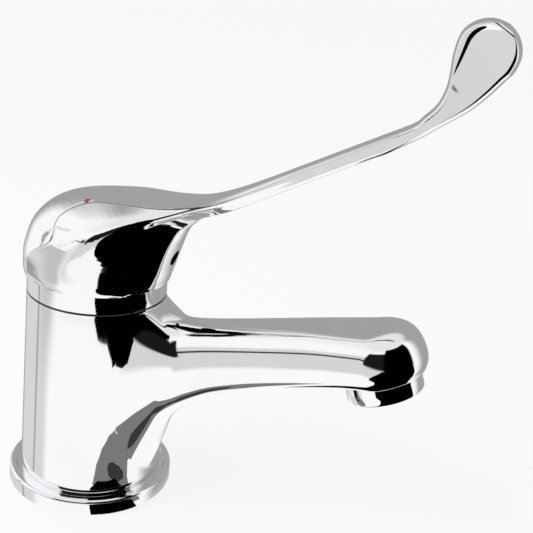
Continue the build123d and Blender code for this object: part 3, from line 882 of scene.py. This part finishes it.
def cloud_group():
    """Shader group: a soft irregular mask from object coordinates."""
    tree = bpy.data.node_groups.new("soft_clouds", "ShaderNodeTree")
    for name in ("Scale", "Low", "High"):
        tree.interface.new_socket(name, in_out="INPUT", socket_type="NodeSocketFloat")
    tree.interface.new_socket("Mask", in_out="OUTPUT", socket_type="NodeSocketFloat")
    nd, links = tree.nodes, tree.links
    into, out = nd.new("NodeGroupInput"), nd.new("NodeGroupOutput")
    place, noise = nd.new("ShaderNodeTexCoord"), nd.new("ShaderNodeTexNoise")
    noise.inputs["Detail"].default_value = cloud_detail
    ranged = nd.new("ShaderNodeMapRange")
    ranged.inputs["From Min"].default_value, ranged.inputs["From Max"].default_value = cloud_spread
    links.new(place.outputs["Object"], noise.inputs["Vector"])
    links.new(into.outputs["Scale"], noise.inputs["Scale"])
    links.new(noise.outputs["Fac"], ranged.inputs["Value"])
    links.new(into.outputs["Low"], ranged.inputs["To Min"])
    links.new(into.outputs["High"], ranged.inputs["To Max"])
    links.new(ranged.outputs["Result"], out.inputs["Mask"])
    return tree


clouds = cloud_group()


def clouded(tree, scale, low, high):
    """Values that wander softly between low and high over the surface."""
    node = tree.nodes.new("ShaderNodeGroup")
    node.node_tree = clouds
    for name, value in (("Scale", scale), ("Low", low), ("High", high)):
        node.inputs[name].default_value = value
    return node.outputs["Mask"]


def maths(tree, operation, *values):
    """Result of a maths node that takes sockets."""
    node = tree.nodes.new("ShaderNodeMath")
    node.operation = operation
    for place, value in zip(node.inputs, values):
        tree.links.new(value, place)
    return node.outputs["Value"]


def mix_colours(tree, factor, first, second):
    """Blend of two colours, each a socket or three numbers."""
    node = tree.nodes.new("ShaderNodeMix")
    node.data_type = "RGBA"
    tree.links.new(factor, node.inputs["Factor"])
    for place, colour in (("A", first), ("B", second)):
        if isinstance(colour, tuple):
            node.inputs[place].default_value = (*colour, 1)
        else:
            tree.links.new(colour, node.inputs[place])
    return node.outputs["Result"]


def ramp(tree, value, low, high, soft):
    """Mask that is 1 between two values, with soft sides."""
    sides = []
    for at, ends in ((low, (0, 1)), (high, (1, 0))):
        side = tree.nodes.new("ShaderNodeMapRange")
        side.interpolation_type = "SMOOTHSTEP"
        side.inputs["From Min"].default_value = at - soft
        side.inputs["From Max"].default_value = at + soft
        side.inputs["To Min"].default_value, side.inputs["To Max"].default_value = ends
        tree.links.new(value, side.inputs["Value"])
        sides.append(side.outputs["Result"])
    return maths(tree, "MULTIPLY", *sides)


def fine_grain(tree, size, strength):
    """Normal with a fine moulded grain."""
    place, noise = tree.nodes.new("ShaderNodeTexCoord"), tree.nodes.new("ShaderNodeTexNoise")
    bump = tree.nodes.new("ShaderNodeBump")
    noise.inputs["Scale"].default_value = size
    noise.inputs["Detail"].default_value = grain_detail
    bump.inputs["Strength"].default_value = strength
    bump.inputs["Distance"].default_value = grain_height
    tree.links.new(place.outputs["Object"], noise.inputs["Vector"])
    tree.links.new(noise.outputs["Fac"], bump.inputs["Height"])
    return bump.outputs["Normal"]


def finish(name, light, dark, metallic, smooth_low, smooth_high, scale, coat=0.0, grain=None, shaded_seams=False):
    """Material whose colour and roughness wander softly between two values, with painted shade darkening
    marked points in fine gaps and grooves.
    """
    mat = bpy.data.materials.new(name)
    mat.use_nodes = True
    tree = mat.node_tree
    shader = tree.nodes["Principled BSDF"]
    shader.inputs["Metallic"].default_value = metallic
    shader.inputs["Coat Weight"].default_value = coat
    colour = mix_colours(tree, clouded(tree, scale, 0.0, 1.0), light, dark)
    if shaded_seams:
        # Painted shade: marked points are darkened toward a near-black colour
        mark = tree.nodes.new("ShaderNodeAttribute")
        mark.attribute_name = "seam_shade"
        colour = mix_colours(tree, mark.outputs["Fac"], colour, painted_shade_colour)
    tree.links.new(colour, shader.inputs["Base Color"])
    roughness = clouded(tree, scale * roughness_scale, smooth_low, smooth_high)
    tree.links.new(roughness, shader.inputs["Roughness"])
    if grain:
        tree.links.new(fine_grain(tree, *grain), shader.inputs["Normal"])
    return mat


finishes = {
    # Chrome carries the painted shade in fine gaps and grooves
    "chrome": finish("polished_chrome", (0.95, 0.955, 0.965), (0.92, 0.925, 0.935), 1.0, 0.02, 0.05, 40,
                     shaded_seams=True),
    "brass": finish("machined_brass", (0.80, 0.62, 0.32), (0.66, 0.48, 0.22), 1.0, 0.22, 0.36, 120),
    "steel": finish("plain_steel", (0.62, 0.62, 0.63), (0.50, 0.50, 0.52), 1.0, 0.20, 0.34, 150),
    "ceramic": finish("lapped_ceramic", (0.90, 0.89, 0.86), (0.82, 0.81, 0.78), 0.0, 0.12, 0.22, 90, 0.3),
    "white_plastic": finish("moulded_white", (0.84, 0.84, 0.82), (0.76, 0.76, 0.74), 0.0, 0.38, 0.50, 90,
                            grain=(900, 0.15)),
    "grey_plastic": finish("moulded_grey", (0.42, 0.43, 0.44), (0.34, 0.35, 0.36), 0.0, 0.36, 0.50, 90,
                           grain=(900, 0.15)),
    "rubber": finish("moulded_rubber", (0.035, 0.035, 0.035), (0.02, 0.02, 0.02), 0.0, 0.55, 0.75, 110,
                     grain=(1200, 0.2)),
    "red_enamel": finish("red_fill", (0.42, 0.02, 0.05), (0.34, 0.012, 0.035), 0.0, 0.15, 0.28, 300, 0.5),
    "blue_enamel": finish("blue_fill", (0.03, 0.09, 0.45), (0.02, 0.06, 0.36), 0.0, 0.15, 0.28, 300, 0.5),
}


def dress(obj, name):
    obj.data.materials.clear()
    obj.data.materials.append(finishes[name])


# Studio
# Cards seen only in reflections: azimuth from, to and softness, elevation from, to and softness, level
cards = [
    (30, 152, 14, -36, 56, 7, 0.37),
    (142, 200, 8, -60, -14, 4, 0.70),
    (-200, -144, 8, -60, -14, 4, 0.70),
    (-162, -136, 9, -24, 0, 3, 0.56),
    (-171, -167, 2, -60, 25, 6, 0.34),
    (-132, -60, 6, -21, 24, 3, 0.70),
    (-145, -108, 6, 8, 13, 1.5, 0.03),
    (-113, -62, 3, 0, 40, 3, 0.01),
    (-66, 8, 3, -8, 55, 2, 0.0),
]
sky_levels = [(-90, 1.0), (-15, 1.0), (45, 1.0), (62, 0.82), (90, 0.85)]
# Dark sheets on the floor, seen only in reflections: corners and level. The first is a black studio cloth;
# the others are painted shadow on the floor near the tap's foot.
dark_cloth_and_shadow_sheets = [
    ([(60, -6), (76, -30), (96, -60), (110, -82), (111, -110), (84, -138), (79, -172), (100, -240),
      (140, -350), (1060, -2600), (3000, -1500), (3000, 400), (400, 60), (150, 22), (120, -10)], 0.0),
    # Painted shadow on the floor near the tap's foot, in three darkening sheets
    ([(20, -34), (30, -43), (42, -47), (56, -45), (65, -38), (58, -22), (49, -12), (38, -12),
      (30, -10)], 0.2),
    ([(40, -33), (43, -29), (43, -21), (40, -16), (36, -15), (32, -20), (33, -28), (36, -32)], 0.04),
    ([(13.5, -24), (17, -32), (24, -33), (34, -22), (30, -14), (24, -12)], 0.0),
]
cloth_low = -1.0
cloth_step = 0.2
# Floor: half its side in metres, how far it lies under the tap in millimetres, and its finish
floor_half = 3.0
floor_drop = 0.2
floor_level = 0.9
floor_roughness = 0.9
floor_shine = 0.1
floor_white_share = 0.85
# Lamp in metres, away from the reflections
lamp_place = (-0.5, -0.5, 0.7)
lamp_aim = (0.03, 0.0, 0.08)
lamp_size = 0.6
lamp_power = 4.0
# Camera: where it stands, its own directions, and its lens
camera_place = (142.248, -265.351, 193.227)
camera_right = (0.93502, 0.34165, 0.09494)
camera_up = (-0.20553, 0.30399, 0.93024)
camera_back = (0.28895, -0.88931, 0.35446)
camera_sensor = 36.0
camera_lens = 67.609
camera_nearest = 0.01


def sky(tree, height):
    """Grey level by elevation in degrees."""
    scaled, shades = tree.nodes.new("ShaderNodeMapRange"), tree.nodes.new("ShaderNodeValToRGB")
    scaled.inputs["From Min"].default_value = -90
    scaled.inputs["From Max"].default_value = 90
    tree.links.new(height, scaled.inputs["Value"])
    tree.links.new(scaled.outputs["Result"], shades.inputs["Fac"])
    while len(shades.color_ramp.elements) < len(sky_levels):
        shades.color_ramp.elements.new(0.5)
    for element, (at, level) in zip(shades.color_ramp.elements, sky_levels):
        element.position = (at + 90) / 180
        element.color = (level, level, level, 1)
    return shades.outputs["Color"]


def studio():
    """World with the sky and the cards, white where the camera sees it."""
    world = bpy.data.worlds.new("studio")
    bpy.context.scene.world = world
    world.use_nodes = True
    tree = world.node_tree
    nd, links = tree.nodes, tree.links
    nd.clear()
    place, split = nd.new("ShaderNodeTexCoord"), nd.new("ShaderNodeSeparateXYZ")
    links.new(place.outputs["Generated"], split.inputs["Vector"])
    azimuth = maths(tree, "DEGREES", maths(tree, "ARCTAN2", split.outputs["Y"], split.outputs["X"]))
    height = maths(tree, "DEGREES", maths(tree, "ARCSINE", split.outputs["Z"]))
    colour = sky(tree, height)
    for az_low, az_high, az_soft, low, high, soft, level in cards:
        card = maths(tree, "MULTIPLY", ramp(tree, azimuth, az_low, az_high, az_soft),
                     ramp(tree, height, low, high, soft))
        colour = mix_colours(tree, card, colour, (level, level, level))
    seen, light = nd.new("ShaderNodeLightPath"), nd.new("ShaderNodeBackground")
    colour = mix_colours(tree, seen.outputs["Is Camera Ray"], colour, (1, 1, 1))
    links.new(colour, light.inputs["Color"])
    out = nd.new("ShaderNodeOutputWorld")
    links.new(light.outputs["Background"], out.inputs["Surface"])


def floor():
    bm = bmesh.new()
    bmesh.ops.create_grid(bm, x_segments=1, y_segments=1, size=floor_half)
    ground = new_object("floor", bm, 1)
    ground.location.z = -floor_drop * MM
    mat = bpy.data.materials.new("floor_white")
    mat.use_nodes = True
    nd, links = mat.node_tree.nodes, mat.node_tree.links
    shader = nd["Principled BSDF"]
    shader.inputs["Base Color"].default_value = (floor_level, floor_level, floor_level, 1)
    shader.inputs["Roughness"].default_value = floor_roughness
    shader.inputs["Specular IOR Level"].default_value = floor_shine
    seen, share = nd.new("ShaderNodeLightPath"), nd.new("ShaderNodeMath")
    share.operation = "MULTIPLY"
    share.inputs[1].default_value = floor_white_share
    glow, mix = nd.new("ShaderNodeEmission"), nd.new("ShaderNodeMixShader")
    glow.inputs["Color"].default_value = (1, 1, 1, 1)
    links.new(seen.outputs["Is Camera Ray"], share.inputs[0])
    links.new(share.outputs["Value"], mix.inputs["Fac"])
    links.new(shader.outputs["BSDF"], mix.inputs[1])
    links.new(glow.outputs["Emission"], mix.inputs[2])
    links.new(mix.outputs["Shader"], nd["Material Output"].inputs["Surface"])
    ground.data.materials.append(mat)
    ground.visible_glossy = False


def floor_cloth_and_shadow_sheets():
    """Flat sheets a little below the deck's plane, one above the other: a black studio cloth and painted
    shadow.
    """
    for n, (corners, level) in enumerate(dark_cloth_and_shadow_sheets):
        bm = bmesh.new()
        edge = [bm.verts.new((x, y, cloth_low + cloth_step * n)) for x, y in corners]
        bmesh.ops.contextual_create(bm, geom=edge)
        sheet = new_object("floor_cloth_and_shadow_sheet", bm)
        mat = bpy.data.materials.new("dark_cloth_and_painted_shadow")
        mat.use_nodes = True
        nd, links = mat.node_tree.nodes, mat.node_tree.links
        nd.clear()
        # Each sheet glows at its level, which for the shadow sheets is painted shadow
        glow, out = nd.new("ShaderNodeEmission"), nd.new("ShaderNodeOutputMaterial")
        glow.inputs["Color"].default_value = (level, level, level, 1)
        links.new(glow.outputs["Emission"], out.inputs["Surface"])
        sheet.data.materials.append(mat)
        sheet.visible_camera = sheet.visible_diffuse = sheet.visible_shadow = False


def lamp():
    data = bpy.data.lights.new("soft_left", "AREA")
    data.size = lamp_size
    data.energy = lamp_power
    light = bpy.data.objects.new("soft_left", data)
    light.location = lamp_place
    light.rotation_euler = (Vector(lamp_aim) - Vector(lamp_place)).to_track_quat("-Z", "Y").to_euler()
    light.visible_glossy = False
    bpy.context.scene.collection.objects.link(light)


def camera():
    data = bpy.data.cameras.new("camera")
    data.sensor_width = camera_sensor
    data.lens = camera_lens
    data.clip_start = camera_nearest
    eye = bpy.data.objects.new("camera", data)
    turn = Matrix((camera_right, camera_up, camera_back)).transposed().to_4x4()
    eye.matrix_world = Matrix.Translation(Vector(camera_place) * MM) @ turn
    bpy.context.scene.collection.objects.link(eye)
    bpy.context.scene.camera = eye


lever = lever_casting()
for piece in (body_casting(), base_ring(), cover_bonnet(), aerator_ring(), lever):
    dress(piece, "chrome")
dress(temperature_mark(lever, -1, "hot_mark_enamel", "hot_mark"), "red_enamel")
dress(temperature_mark(lever, 1, "cold_mark_enamel", "cold_mark"), "blue_enamel")
slots = {part["node"]: part["material_slot"] for part in frame["record"]["subparts"]}
for name, node in nodes.items():
    dress(node, slots[name])

studio()
floor()
floor_cloth_and_shadow_sheets()
lamp()
camera()
bpy.context.scene.view_settings.view_transform = "Standard"
